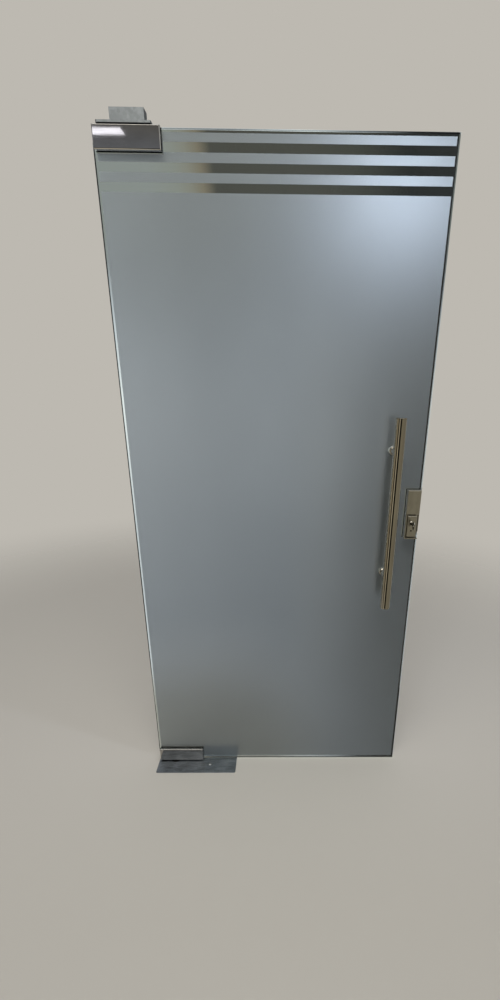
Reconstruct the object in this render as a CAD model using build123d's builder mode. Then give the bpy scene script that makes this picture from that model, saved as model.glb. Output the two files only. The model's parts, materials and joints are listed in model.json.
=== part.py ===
from build123d import *
from math import acos, cos, degrees, radians, sin, sqrt
import os

# Frameless glass entrance door on patch fittings and a floor closer, in millimetres.
# Origin: the swing axis at finished floor level. +X runs to the leading edge,
# +Z is up, and the face seen in the photograph looks along -Y.

# Glass leaf and the gaps round it
glass_width = 906.0
glass_height = 1969.0
glass_thickness = 12.0
glass_arris = 1.0
floor_gap = 8.0
lintel_gap = 4.0
jamb_gap = 4.0
pivot_setback = 65.0

# Frosted film on the rear face
film_thickness = 0.2
film_margin = 6.0
film_trim = 2.0
first_strip = 19.0
strip_height = 21.0
clear_band = 21.0
strip_count = 3

# Patch fittings at the hinge corners
patch_length = 165.0
patch_height = 51.0
patch_setback = 4.0
patch_overhang = 2.0
patch_gasket = 1.0
patch_casting = 7.5
patch_skin = 1.5
patch_bevel = 2.0
skin_fit = 0.2
skin_clear = 0.5
notch_length = 126.0
notch_height = 32.0
notch_radius = 10.0
notch_fit = 1.5
insert_length = 44.0
insert_width = 22.0
insert_height = 24.0
patch_bolt = 8.0
patch_bolt_head = 13.0
patch_bolt_head_depth = 5.0
patch_bolt_socket = 2.5
patch_bolt_out = 39.0
patch_bolt_fit = 0.1
patch_bolt_reach = 10.0
hex_share = 0.55
casting_margin = 5.0
casting_rib = 4.0
casting_pocket = 3.5
casting_corner = 4.0
casting_draft = 5.0

# Spindle of the floor closer and its socket
spindle_diameter = 26.0
spindle_run = 0.05
spindle_depth = 26.0
spindle_key_long = 26.0
spindle_key_wide = 11.0
spindle_key_height = 18.0
spindle_taper = 2.0
spindle_key_fit = 0.05

# Floor closer, its box in the floor and its cover plate
cover_length = 298.0
cover_width = 138.0
cover_thickness = 2.0
cover_bevel = 1.0
cover_corner = 6.0
cover_spindle_hole = 40.0
cover_end = 62.0
cover_screw_x = 49.0
cover_screw_y = 30.0
cover_screw = 6.0
cover_screw_head = 13.0
cover_screw_dome = 1.2
cover_screw_length = 22.0
cover_screw_sink = 0.15
cover_sink_angle = 22.5
cover_screw_slot = 1.6
box_margin = 4.0
box_wall = 1.5
box_depth = 52.0
box_corner = 6.0
lug_length = 22.0
lug_reach = 18.0
lug_level = 24.0
lug_inset = 45.0
lug_hole = 7.0
closer_room = 3.5
closer_width = 78.0
closer_height = 36.0
closer_top = 8.0
closer_round = 16.0
barrel_width = 56.0
barrel_height = 5.0
ear_length = 18.0
ear_width = 22.0
ear_height = 12.0
level_screw = 8.0
level_screw_proud = 6.0
seal_diameter = 38.0
seal_height = 4.0
seal_bevel = 1.0
spring_plug = 30.0
spring_plug_head = 5.0
spring_plug_proud = 2.5
valve_screw = 9.0
valve_spread = 26.0
valve_inset = 18.0
valve_depth = 10.0
slot_share = 0.18
screw_fit = 0.1

# Pivot let into the lintel
lintel_plate_length = 134.0
lintel_plate_width = 32.0
lintel_plate_thickness = 5.0
lintel_plate_corner = 4.0
lintel_plate_end = 46.0
lintel_hole = 5.5
lintel_hole_head = 10.0
lintel_sink_angle = 45.0
lintel_hole_spacing = 116.0
lintel_case_width = 26.0
lintel_case_height = 26.0
lintel_case_wall = 4.0
lintel_case_length = 84.0
pin_diameter = 15.0
pin_run = 0.05
pin_entry = 16.0
pin_rise = 12.0
pin_lead = 1.0
lever_thickness = 6.0
lever_width = 14.0
lift_screw = 8.0
lift_screw_head = 12.0
lift_screw_x = 40.0
bush_wall = 2.0
bush_floor = 3.0

# Pair of pull handles
pull_diameter = 32.0
pull_wall = 1.5
pull_length = 600.0
pull_centres = 400.0
pull_inset = 100.0
pull_level = 1000.0
pull_reach = 60.0
pull_cap = 2.0
pull_cap_bevel = 0.5
pull_plug_depth = 8.0
post_diameter = 20.0
post_foot = 26.0
post_foot_height = 4.0
post_foot_bevel = 2.0
post_washer = 1.0
pull_hole = 14.0
sleeve_fit = 0.2
stud_diameter = 8.0
stud_reach = 16.0
stud_fit = 0.1
grub_diameter = 5.0
grub_level = 8.0
grub_socket = 3.0

# Lock on the leading edge
lock_level = 1002.0
lock_height = 158.0
lock_width = 41.0
lock_setback = 6.0
lock_depth = 20.0
lock_gasket = 1.0
lock_base = 3.0
lock_rim = 3.0
lock_skin = 2.0
lock_bevel = 1.2
lock_split = 2.0
lock_cover_gap = 0.5
lock_notch_depth = 44.0
lock_notch_height = 132.0
lock_notch_radius = 8.0
lock_notch_fit = 1.0
block_width = 28.0
block_inset = 6.5
block_foot = 3.5
block_head = 5.0
block_drop = 1.5
cylinder_inset = 27.0
cylinder_level = 973.0
cylinder_diameter = 17.0
cylinder_proud = 2.0
cylinder_bevel = 1.0
plug_diameter = 11.0
plug_run = 0.05
tail_diameter = 7.0
faceplate_thickness = 2.0
faceplate_height = 120.0
faceplate_screw = 4.0
faceplate_screw_spacing = 104.0
faceplate_screw_depth = 5.0
faceplate_screw_slot = 1.0
bolt_thickness = 8.0
bolt_height = 26.0
bolt_length = 40.0
bolt_fit = 0.1
bolt_recess = 0.5
cam_radius = 11.0
cam_finger = 5.0
cam_arm = 3.0
cam_hub = 10.0
cam_thickness = 6.0
cam_rise = 6.5
cam_play = 1.0
cam_half_turn = 45.0
clamp_screw = 5.0
clamp_screw_head = 9.0
clamp_screw_head_depth = 3.5
clamp_screw_socket = 1.75
clamp_screw_spacing = 104.0
clamp_screw_inset = 20.0
key_thickness = 2.0
key_bow = 23.0
key_bow_height = 25.3
key_bow_hole = 6.0
key_neck = 8.0
key_blade = 18.0
key_blade_height = 8.0
key_cuts = [1.6, 2.4, 1.2, 2.0, 1.4]
key_cut_pitch = 3.0
key_fit = 0.1
turn_rose = 24.0
turn_rose_depth = 4.0
turn_rose_bevel = 1.0
turn_length = 30.0
turn_width = 10.0
turn_depth = 14.0
turn_bevel = 1.25

# Levels and planes that several pieces share
face = glass_thickness / 2
hinge_edge = jamb_gap - pivot_setback
leading_edge = hinge_edge + glass_width
glass_foot = floor_gap
glass_head = glass_foot + glass_height
glass_middle = Plane.XY.offset(glass_foot + glass_height / 2)
lintel = glass_head + lintel_gap
lock_notch_mouth = 2 * lock_notch_depth
pull_x = leading_edge - pull_inset
pull_feet = [(pull_x, pull_level - pull_centres / 2), (pull_x, pull_level + pull_centres / 2)]
corner = (Align.MIN, Align.MIN)
from_left = (Align.MIN, Align.CENTER)
from_right = (Align.MAX, Align.CENTER)
from_below = (Align.CENTER, Align.MIN)
on_seat = (Align.CENTER, Align.CENTER, Align.MIN)


# Leaf of toughened glass: notched for the two patch fittings and the lock, drilled for the pulls
with BuildPart() as glass_leaf:
    with BuildSketch(Plane.XZ):
        with Locations((hinge_edge, glass_foot)):
            Rectangle(glass_width, glass_height, align=corner)
        with Locations((hinge_edge, glass_foot), (hinge_edge, glass_head)):
            RectangleRounded(2 * notch_length, 2 * notch_height, notch_radius, mode=Mode.SUBTRACT)
        with Locations((leading_edge, lock_level)):
            RectangleRounded(lock_notch_mouth, lock_notch_height, lock_notch_radius, mode=Mode.SUBTRACT)
        with Locations(*pull_feet):
            Circle(pull_hole / 2, mode=Mode.SUBTRACT)
    extrude(amount=face, both=True)
    sides = glass_leaf.faces().sort_by(Axis.Y)
    chamfer(sides[0].outer_wire().edges() + sides[-1].outer_wire().edges(), length=glass_arris)

# Patch fitting outline, and the places of its clamp bolts in the glass notch
patch_x = hinge_edge + patch_setback
patch_z = glass_foot - patch_overhang
patch_depth = patch_gasket + patch_casting + patch_skin
patch_centre = (patch_x + patch_length / 2, patch_z + patch_height / 2)
casting_length = patch_length - 2 * (patch_skin + skin_fit)
casting_height = patch_height - 2 * (patch_skin + skin_fit)
casting_x = patch_x + patch_skin + skin_fit
casting_z = patch_z + patch_skin + skin_fit
block_right = hinge_edge + notch_length - notch_fit
block_top = glass_foot + notch_height - notch_fit
patch_bolt_z = (casting_z + block_top) / 2
patch_bolts = [(-patch_bolt_out, patch_bolt_z), (patch_bolt_out, patch_bolt_z)]
casting_face = face + patch_gasket + patch_casting
casting_head = casting_z + casting_height
pocket_left = patch_bolt_out + patch_bolt_head / 2 + casting_margin
pocket_right = casting_x + casting_length - casting_margin
pocket_height = (casting_height - 2 * casting_margin - casting_rib) / 2
crown_foot = casting_z + insert_height + casting_margin
crown_height = casting_head - casting_margin - crown_foot
crown_width = 2 * (patch_bolt_out - patch_bolt_head / 2 - casting_margin)

# Film: three strips across the head of the leaf over one large field
film_length = glass_width - 2 * film_margin
film_x = hinge_edge + film_margin
strip_heads = [glass_head - film_margin]
for _ in range(1, strip_count):
    drop = first_strip if len(strip_heads) == 1 else strip_height
    strip_heads.append(strip_heads[-1] - drop - clear_band)
field_head = strip_heads[-1] - strip_height - clear_band
field_foot = glass_foot + film_margin
patch_hole_length = patch_length + 2 * film_trim
patch_hole_height = patch_height + 2 * film_trim
lock_hole_height = lock_height + 2 * film_trim
lock_hole_left = leading_edge - lock_setback - lock_width - film_trim

film_strips = []
for index, head in enumerate(strip_heads):
    height = first_strip if index == 0 else strip_height
    with BuildPart() as film_strip:
        with BuildSketch(Plane.XZ.offset(-face)):
            with Locations((film_x, head - height)):
                Rectangle(film_length, height, align=corner)
            with Locations((patch_centre[0], 2 * glass_middle.origin.Z - patch_centre[1])):
                Rectangle(patch_hole_length, patch_hole_height, mode=Mode.SUBTRACT)
        extrude(amount=-film_thickness)
    film_strips.append(film_strip)

with BuildPart() as film_field:
    with BuildSketch(Plane.XZ.offset(-face)):
        with Locations((film_x, field_foot)):
            Rectangle(film_length, field_head - field_foot, align=corner)
        with Locations(patch_centre):
            Rectangle(patch_hole_length, patch_hole_height, mode=Mode.SUBTRACT)
        with Locations((lock_hole_left, lock_level)):
            Rectangle(2 * lock_width, lock_hole_height, align=from_left, mode=Mode.SUBTRACT)
        with Locations(*pull_feet):
            Circle(post_foot / 2 + film_trim, mode=Mode.SUBTRACT)
    extrude(amount=-film_thickness)

# Stainless cover of the bottom patch: a pressed tray with bevelled front edges
with BuildPart() as bottom_patch_cover_front:
    with BuildSketch(Plane.XZ.offset(face + skin_clear)):
        with Locations(patch_centre):
            Rectangle(patch_length, patch_height)
    extrude(amount=patch_depth - skin_clear)
    with BuildSketch(Plane.XZ.offset(face + skin_clear)):
        with Locations(patch_centre):
            Rectangle(patch_length - 2 * patch_skin, patch_height - 2 * patch_skin)
    extrude(amount=patch_depth - skin_clear - patch_skin, mode=Mode.SUBTRACT)
    chamfer(bottom_patch_cover_front.faces().sort_by(Axis.Y)[0].edges(), length=patch_bevel)
    with BuildSketch(Plane.XY.offset(patch_z)):
        Circle(spindle_diameter / 2 + skin_clear)
    extrude(amount=patch_skin, mode=Mode.SUBTRACT)

# Front clamp casting: a plate on the glass face, with drafted pockets between ribs in its
# outer side, and a block that fills half of the notch
with BuildPart() as bottom_patch_casting_front:
    with BuildSketch(Plane.XZ.offset(face + patch_gasket)):
        with Locations(patch_centre):
            Rectangle(casting_length, casting_height)
    extrude(amount=patch_casting)
    with BuildSketch(Plane.XZ) as block_outline:
        with Locations((casting_x, casting_z)):
            Rectangle(block_right - casting_x, block_top - casting_z, align=corner)
        fillet(block_outline.vertices().sort_by(lambda v: v.X + v.Y)[-1], radius=notch_radius - notch_fit)
    extrude(amount=face + patch_gasket)
    with BuildSketch(Plane.XZ):
        with Locations((0, casting_z)):
            Rectangle(insert_length, insert_height, align=from_below)
    extrude(amount=insert_width / 2, mode=Mode.SUBTRACT)
    with BuildSketch(Plane.XZ):
        with Locations(*patch_bolts):
            Circle(patch_bolt / 2 + patch_bolt_fit)
    extrude(amount=patch_bolt_reach + patch_bolt_fit, mode=Mode.SUBTRACT)
    with BuildSketch(Plane.XZ.offset(casting_face)) as pockets:
        with Locations((pocket_left, casting_z + casting_margin)):
            Rectangle(pocket_right - pocket_left, pocket_height, align=corner)
        with Locations((pocket_left, casting_head - casting_margin - pocket_height)):
            Rectangle(pocket_right - pocket_left, pocket_height, align=corner)
        with Locations((0, crown_foot)):
            Rectangle(crown_width, crown_height, align=from_below)
        fillet(pockets.vertices(), radius=casting_corner)
    extrude(amount=-casting_pocket, taper=casting_draft, mode=Mode.SUBTRACT)

# Rear clamp casting: the same, drilled through and counterbored for the bolt heads
with BuildPart() as bottom_patch_casting_rear:
    mirror(bottom_patch_casting_front.part, about=Plane.XZ)
    with BuildSketch(Plane.XZ.offset(-casting_face)):
        with Locations(*patch_bolts):
            Circle(patch_bolt / 2 + patch_bolt_fit)
    extrude(amount=casting_face, mode=Mode.SUBTRACT)
    with BuildSketch(Plane.XZ.offset(-casting_face)):
        with Locations(*patch_bolts):
            Circle(patch_bolt_head / 2 + patch_bolt_fit)
    extrude(amount=patch_bolt_head_depth, mode=Mode.SUBTRACT)

with BuildPart() as bottom_patch_cover_rear:
    mirror(bottom_patch_cover_front.part, about=Plane.XZ)

# Clamp bolts: socket heads in the rear casting, ends in the front one
with BuildPart() as bottom_patch_bolts:
    with BuildSketch(Plane.XZ.offset(-casting_face)):
        with Locations(*patch_bolts):
            Circle(patch_bolt_head / 2)
    extrude(amount=patch_bolt_head_depth)
    with BuildSketch(Plane.XZ.offset(patch_bolt_reach)):
        with Locations(*patch_bolts):
            Circle(patch_bolt / 2)
    extrude(amount=-(patch_bolt_reach + casting_face - patch_bolt_head_depth))
    with BuildSketch(Plane.XZ.offset(-casting_face)):
        with Locations(*patch_bolts):
            RegularPolygon(patch_bolt_head / 2 * hex_share, side_count=6)
    extrude(amount=patch_bolt_socket, mode=Mode.SUBTRACT)

# Fibre gaskets between the castings and both faces of the glass
with BuildPart() as bottom_patch_gaskets:
    with BuildSketch(Plane.XZ.offset(face)):
        with Locations((casting_x, glass_foot)):
            Rectangle(casting_length, casting_z + casting_height - glass_foot, align=corner)
        with Locations((hinge_edge, glass_foot)):
            RectangleRounded(2 * notch_length, 2 * notch_height, notch_radius, mode=Mode.SUBTRACT)
    extrude(amount=patch_gasket)
    mirror(about=Plane.XZ)

# Steel insert held between the bottom castings, with a tapered socket for the spindle
with BuildPart() as bottom_patch_insert:
    with BuildSketch(Plane.XY.offset(casting_z)):
        Rectangle(insert_length, insert_width)
    extrude(amount=insert_height)
    with BuildSketch(Plane.XY.offset(casting_z)):
        Rectangle(spindle_key_long + 2 * spindle_key_fit, spindle_key_wide + 2 * spindle_key_fit)
    extrude(amount=spindle_key_height + spindle_key_fit, taper=spindle_taper, mode=Mode.SUBTRACT)

# Spindle: a round journal in the closer and a tapered key in the insert
with BuildPart() as closer_spindle:
    with BuildSketch(Plane.XY.offset(-closer_top - spindle_depth)):
        Circle(spindle_diameter / 2)
    extrude(amount=closer_top + spindle_depth + casting_z)
    with BuildSketch(Plane.XY.offset(casting_z)):
        Rectangle(spindle_key_long, spindle_key_wide)
    extrude(amount=spindle_key_height, taper=spindle_taper)

# Top patch: the same castings, covers, gaskets and bolts, the other way up
with BuildPart() as top_patch_cover_front:
    mirror(bottom_patch_cover_front.part, about=glass_middle)
with BuildPart() as top_patch_cover_rear:
    mirror(bottom_patch_cover_rear.part, about=glass_middle)
with BuildPart() as top_patch_casting_front:
    mirror(bottom_patch_casting_front.part, about=glass_middle)
with BuildPart() as top_patch_casting_rear:
    mirror(bottom_patch_casting_rear.part, about=glass_middle)
with BuildPart() as top_patch_bolts:
    mirror(bottom_patch_bolts.part, about=glass_middle)
with BuildPart() as top_patch_gaskets:
    mirror(bottom_patch_gaskets.part, about=glass_middle)

# Insert of the top patch, bored for a plastic bush that turns on the lintel pin
insert_head = glass_head + patch_overhang - patch_skin - skin_fit
pin_foot = insert_head - pin_entry
bush_foot = pin_foot - bush_floor
with BuildPart() as top_patch_insert:
    with BuildSketch(Plane.XY.offset(insert_head - insert_height)):
        Rectangle(insert_length, insert_width)
    extrude(amount=insert_height)
    with BuildSketch(Plane.XY.offset(insert_head)):
        Circle(pin_diameter / 2 + pin_run + bush_wall)
    extrude(amount=-(insert_head - bush_foot), mode=Mode.SUBTRACT)

with BuildPart() as top_patch_bush:
    with BuildSketch(Plane.XY.offset(bush_foot)):
        Circle(pin_diameter / 2 + pin_run + bush_wall)
    extrude(amount=insert_head - bush_foot)
    with BuildSketch(Plane.XY.offset(pin_foot - screw_fit)):
        Circle(pin_diameter / 2 + pin_run)
    extrude(amount=pin_entry + screw_fit, mode=Mode.SUBTRACT)

# Closer body: a cast oil housing with a raised barrel, a spindle bore and four ears
closer_base = -closer_top - closer_height
cover_centre = (cover_length / 2 - cover_end, 0)
box_length = cover_length - 2 * box_margin
box_width = cover_width - 2 * box_margin
closer_length = box_length - 2 * (box_wall + closer_room) - 3 * ear_length
closer_end = cover_centre[0] + closer_length / 2
cover_screws = [
    (cover_centre[0] + cover_screw_x, -cover_screw_y),
    (cover_centre[0] - cover_screw_x, cover_screw_y),
]
ear_x = closer_length / 2 + ear_length / 2
ear_y = closer_width / 2 - ear_width / 2
ears = [(cover_centre[0] + i * ear_x, j * ear_y) for i in (-1, 1) for j in (-1, 1)]
valves = [(closer_end - valve_inset, j * valve_spread / 2) for j in (-1, 1)]
spring_plug_z = closer_base + closer_height / 2

with BuildPart() as closer_body:
    with BuildSketch(Plane.XY.offset(closer_base)):
        with Locations(cover_centre):
            RectangleRounded(closer_length, closer_width, closer_round)
    extrude(amount=closer_height - barrel_height)
    with BuildSketch(Plane.XY.offset(closer_base)):
        with Locations(cover_centre):
            SlotOverall(closer_length, barrel_width)
    extrude(amount=closer_height)
    with BuildSketch(Plane.XY.offset(closer_base)):
        with Locations(*cover_screws):
            Circle(cover_screw_head / 2)
    extrude(amount=closer_height)
    with BuildSketch(Plane.XY.offset(closer_base)):
        with Locations(*ears):
            Rectangle(2 * ear_length, ear_width)
    extrude(amount=ear_height)
    with BuildSketch(Plane.XY.offset(-closer_top)):
        Circle(spindle_diameter / 2 + spindle_run)
        with Locations(*valves):
            Circle(valve_screw / 2 + screw_fit)
    extrude(amount=-valve_depth, mode=Mode.SUBTRACT)
    with BuildSketch(Plane.XY.offset(-closer_top)):
        Circle(spindle_diameter / 2 + spindle_run)
    extrude(amount=-(spindle_depth + screw_fit), mode=Mode.SUBTRACT)
    with BuildSketch(Plane.XY.offset(-closer_top)):
        with Locations(*cover_screws):
            Circle(cover_screw / 2 + screw_fit)
    extrude(amount=-cover_screw_length, mode=Mode.SUBTRACT)
    with BuildSketch(Plane.XY.offset(closer_base)):
        with Locations(*ears):
            Circle(level_screw / 2 + screw_fit)
    extrude(amount=ear_height, mode=Mode.SUBTRACT)
    with BuildSketch(Plane.YZ.offset(closer_end)):
        with Locations((0, spring_plug_z)):
            Circle(spring_plug / 2 + screw_fit)
    extrude(amount=-spring_plug_head, mode=Mode.SUBTRACT)

# Plug over the closer's spring, with a hexagon socket
with BuildPart() as closer_spring_plug:
    with BuildSketch(Plane.YZ.offset(closer_end - spring_plug_head)):
        with Locations((0, spring_plug_z)):
            Circle(spring_plug / 2)
    extrude(amount=spring_plug_head + spring_plug_proud)
    with BuildSketch(Plane.YZ.offset(closer_end + spring_plug_proud)):
        with Locations((0, spring_plug_z)):
            RegularPolygon(spring_plug / 2 * hex_share, side_count=6)
    extrude(amount=-spring_plug_head, mode=Mode.SUBTRACT)

# Two slotted screws that set the closing speed
with BuildPart() as closer_valve_screws:
    with BuildSketch(Plane.XY.offset(-closer_top)):
        with Locations(*valves):
            Circle(valve_screw / 2)
    extrude(amount=-valve_depth)
    with BuildSketch(Plane.XY.offset(-closer_top)):
        with Locations(*valves):
            Rectangle(2 * valve_screw, valve_screw * slot_share)
    extrude(amount=-valve_screw * slot_share, mode=Mode.SUBTRACT)

# Ring that seals the spindle where it leaves the closer
with BuildPart() as spindle_seal:
    with BuildSketch(Plane.XY.offset(-closer_top)):
        Circle(seal_diameter / 2)
        Circle(spindle_diameter / 2 + spindle_run, mode=Mode.SUBTRACT)
    extrude(amount=seal_height)
    chamfer(spindle_seal.faces().sort_by(Axis.Z)[-1].outer_wire().edges(), length=seal_bevel)

# Box of pressed steel that is cemented into the floor, with four anchor lugs
lugs = [
    (cover_centre[0] + i * (box_length / 2 - lug_inset), j * (box_width / 2 + lug_reach / 2))
    for i in (-1, 1)
    for j in (-1, 1)
]
with BuildPart() as cement_box:
    with BuildSketch(Plane.XY.offset(-box_depth)):
        with Locations(cover_centre):
            RectangleRounded(box_length, box_width, box_corner)
    extrude(amount=box_depth)
    offset(amount=-box_wall, openings=cement_box.faces().sort_by(Axis.Z)[-1])
    with BuildSketch(Plane.XY.offset(-lug_level)):
        with Locations(*lugs):
            Rectangle(lug_length, lug_reach)
        with Locations(*lugs):
            Circle(lug_hole / 2, mode=Mode.SUBTRACT)
    extrude(amount=-box_wall)

# Four screws that level the closer on the floor of its box
level_screw_top = closer_base + ear_height + level_screw_proud
with BuildPart() as closer_level_screws:
    with BuildSketch(Plane.XY.offset(box_wall - box_depth)):
        with Locations(*ears):
            Circle(level_screw / 2)
    extrude(amount=box_depth - box_wall + level_screw_top)
    with BuildSketch(Plane.XY.offset(level_screw_top)):
        with Locations(*ears):
            Rectangle(2 * level_screw, level_screw * slot_share)
    extrude(amount=-level_screw * slot_share, mode=Mode.SUBTRACT)

# Steel plate over the box, flush on the floor round the spindle
with BuildPart() as cover_plate:
    with BuildSketch(Plane.XY):
        with Locations(cover_centre):
            RectangleRounded(cover_length, cover_width, cover_corner)
        Circle(cover_spindle_hole / 2, mode=Mode.SUBTRACT)
    extrude(amount=cover_thickness)
    chamfer(cover_plate.faces().sort_by(Axis.Z)[-1].outer_wire().edges(), length=cover_bevel)
    with BuildSketch(Plane.XY.offset(cover_thickness)):
        with Locations(*cover_screws):
            Circle(cover_screw_head / 2 + screw_fit)
    extrude(amount=-cover_thickness, taper=cover_sink_angle, mode=Mode.SUBTRACT)

# Raised countersunk screws that hold the plate down on the closer
screw_rim = cover_screw_head / 2 - cover_screw_sink
screw_rim_z = cover_thickness - cover_screw_sink
dome_radius = (screw_rim ** 2 + cover_screw_dome ** 2) / (2 * cover_screw_dome)
dome_latitude = degrees(acos(screw_rim / dome_radius))

with BuildPart() as cover_plate_screws:
    with BuildSketch(Plane.XY.offset(screw_rim_z)):
        with Locations(*cover_screws):
            Circle(screw_rim)
    extrude(amount=-screw_rim_z, taper=cover_sink_angle)
    with Locations(*[(x, y, screw_rim_z) for x, y in cover_screws]):
        Sphere(dome_radius, arc_size1=dome_latitude, align=on_seat)
    with BuildSketch(Plane.XY):
        with Locations(*cover_screws):
            Circle(cover_screw / 2)
    extrude(amount=-cover_screw_length)
    with BuildSketch(Plane.XY.offset(screw_rim_z + cover_screw_dome)):
        with Locations(*cover_screws):
            Rectangle(cover_screw, cover_screw * slot_share)
            Rectangle(cover_screw * slot_share, cover_screw)
    extrude(amount=-cover_screw_slot, mode=Mode.SUBTRACT)

# Lintel pivot: a screwed plate with a case on its back that is let into the lintel
lintel_top = lintel + lintel_plate_thickness
plate_x = -lintel_plate_end
lintel_holes = [
    (plate_x + lintel_plate_length / 2 + i * lintel_hole_spacing / 2, 0) for i in (-1, 1)
]
case_x = -(pin_diameter / 2 + lintel_case_wall)
lintel_sink = (lintel_hole_head - lintel_hole) / 2
lever_foot = lintel_top + pin_rise
with BuildPart() as top_pivot_plate:
    with BuildSketch(Plane.XY.offset(lintel)):
        with Locations((plate_x, 0)):
            Rectangle(lintel_plate_length, lintel_plate_width, align=from_left)
    extrude(amount=lintel_plate_thickness)
    fillet(top_pivot_plate.edges().filter_by(Axis.Z), radius=lintel_plate_corner)
    with BuildSketch(Plane.XY.offset(lintel_top)):
        with Locations((case_x, 0)):
            Rectangle(lintel_case_length, lintel_case_width, align=from_left)
    extrude(amount=lintel_case_height)
    with BuildSketch(Plane.XY.offset(lintel_top + pin_rise)):
        with Locations((case_x + lintel_case_wall, 0)):
            Rectangle(
                lintel_case_length - 2 * lintel_case_wall,
                lintel_case_width - 2 * lintel_case_wall,
                align=from_left,
            )
    extrude(amount=lintel_case_height - pin_rise - lintel_case_wall, mode=Mode.SUBTRACT)
    with BuildSketch(Plane.XY.offset(lintel)):
        Circle(pin_diameter / 2 + pin_run)
        with Locations((lift_screw_x, 0)):
            Circle(lift_screw_head / 2 + screw_fit)
    extrude(amount=lintel_plate_thickness + pin_rise, mode=Mode.SUBTRACT)
    with BuildSketch(Plane.XY.offset(lintel)):
        with Locations(*lintel_holes):
            Circle(lintel_hole / 2)
    extrude(amount=lintel_plate_thickness, mode=Mode.SUBTRACT)
    with BuildSketch(Plane.XY.offset(lintel)):
        with Locations(*lintel_holes):
            Circle(lintel_hole_head / 2)
    extrude(amount=lintel_sink, taper=lintel_sink_angle, mode=Mode.SUBTRACT)

# Pin that the leaf hangs on at the head, and the lever and screw that lower it into the bush
with BuildPart() as top_pivot_pin:
    with BuildSketch(Plane.XY.offset(pin_foot)):
        Circle(pin_diameter / 2)
    extrude(amount=lever_foot - pin_foot)
    chamfer(top_pivot_pin.faces().sort_by(Axis.Z)[0].edges(), length=pin_lead)

with BuildPart() as top_pivot_lever:
    with BuildSketch(Plane.XY.offset(lever_foot)):
        with Locations((lift_screw_x / 2, 0)):
            SlotCenterToCenter(lift_screw_x, lever_width)
        with Locations((lift_screw_x, 0)):
            Circle(lift_screw / 2 + screw_fit, mode=Mode.SUBTRACT)
    extrude(amount=lever_thickness)

with BuildPart() as top_pivot_lift_screw:
    with BuildSketch(Plane.XY.offset(lintel)):
        with Locations((lift_screw_x, 0)):
            Circle(lift_screw_head / 2)
    extrude(amount=lintel_plate_thickness)
    with BuildSketch(Plane.XY.offset(lintel_top)):
        with Locations((lift_screw_x, 0)):
            Circle(lift_screw / 2)
    extrude(amount=pin_rise + lever_thickness + screw_fit)
    with BuildSketch(Plane.XY.offset(lintel)):
        with Locations((lift_screw_x, 0)):
            Rectangle(2 * lift_screw_head, lift_screw_head * slot_share)
    extrude(amount=lift_screw_head * slot_share, mode=Mode.SUBTRACT)

# Pull handle on the seen face: a stainless tube with flat caps
pull_axis = -(face + pull_reach)
pull_foot_z = pull_level - pull_length / 2
with BuildPart() as pull_tube_front:
    with BuildSketch(Plane.XY.offset(pull_foot_z + pull_cap)):
        with Locations((pull_x, pull_axis)):
            Circle(pull_diameter / 2)
            Circle(pull_diameter / 2 - pull_wall, mode=Mode.SUBTRACT)
    extrude(amount=pull_length - 2 * pull_cap)

pull_middle = Plane.XY.offset(pull_level)
with BuildPart() as pull_caps_front:
    with BuildSketch(Plane.XY.offset(pull_foot_z)):
        with Locations((pull_x, pull_axis)):
            Circle(pull_diameter / 2)
    extrude(amount=pull_cap)
    chamfer(pull_caps_front.faces().sort_by(Axis.Z)[0].edges(), length=pull_cap_bevel)
    with BuildSketch(Plane.XY.offset(pull_foot_z + pull_cap)):
        with Locations((pull_x, pull_axis)):
            Circle(pull_diameter / 2 - pull_wall)
    extrude(amount=pull_plug_depth)
    mirror(about=pull_middle)

# Posts between the tube and the glass: a round foot, a shank and a saddle that fits the tube
with BuildPart() as pull_posts_front:
    with BuildSketch(Plane.XZ.offset(face + post_washer)):
        with Locations(*pull_feet):
            Circle(post_foot / 2)
    extrude(amount=post_foot_height)
    chamfer(pull_posts_front.faces().group_by(Axis.Y)[0].edges(), length=post_foot_bevel)
    with BuildSketch(Plane.XZ.offset(face + post_washer)):
        with Locations(*pull_feet):
            Circle(post_diameter / 2)
    extrude(amount=pull_reach - post_washer)
    with BuildSketch(Plane.XY.offset(pull_foot_z)):
        with Locations((pull_x, pull_axis)):
            Circle(pull_diameter / 2)
    extrude(amount=pull_length, mode=Mode.SUBTRACT)
    with BuildSketch(Plane.XZ.offset(face + post_washer)):
        with Locations(*pull_feet):
            Circle(stud_diameter / 2 + stud_fit)
    extrude(amount=stud_reach + stud_fit, mode=Mode.SUBTRACT)

# Pull handle on the far face, with grub screws in its posts
grub_feet = [(pull_x, face + post_washer + grub_level)]
with BuildPart() as pull_tube_rear:
    mirror(pull_tube_front.part, about=Plane.XZ)
with BuildPart() as pull_caps_rear:
    mirror(pull_caps_front.part, about=Plane.XZ)
with BuildPart() as pull_posts_rear:
    mirror(pull_posts_front.part, about=Plane.XZ)
    for _, level in pull_feet:
        with BuildSketch(Plane.XY.offset(level)):
            with Locations(*grub_feet):
                Circle(grub_diameter / 2 + stud_fit)
        extrude(amount=-post_diameter, mode=Mode.SUBTRACT)

with BuildPart() as pull_grub_screws:
    for _, level in pull_feet:
        with BuildSketch(Plane.XY.offset(level - stud_diameter / 2)):
            with Locations(*grub_feet):
                Circle(grub_diameter / 2)
        extrude(amount=-(post_diameter - stud_diameter) / 2)
        with BuildSketch(Plane.XY.offset(level - post_diameter / 2)):
            with Locations(*grub_feet):
                RegularPolygon(grub_diameter / 2 * hex_share, side_count=6)
        extrude(amount=grub_socket, mode=Mode.SUBTRACT)

# Studs through the glass, the sleeves round them and the plastic washers under the posts
with BuildPart() as pull_studs:
    with BuildSketch(Plane.XZ):
        with Locations(*pull_feet):
            Circle(stud_diameter / 2)
    extrude(amount=face + post_washer + stud_reach, both=True)

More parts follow.
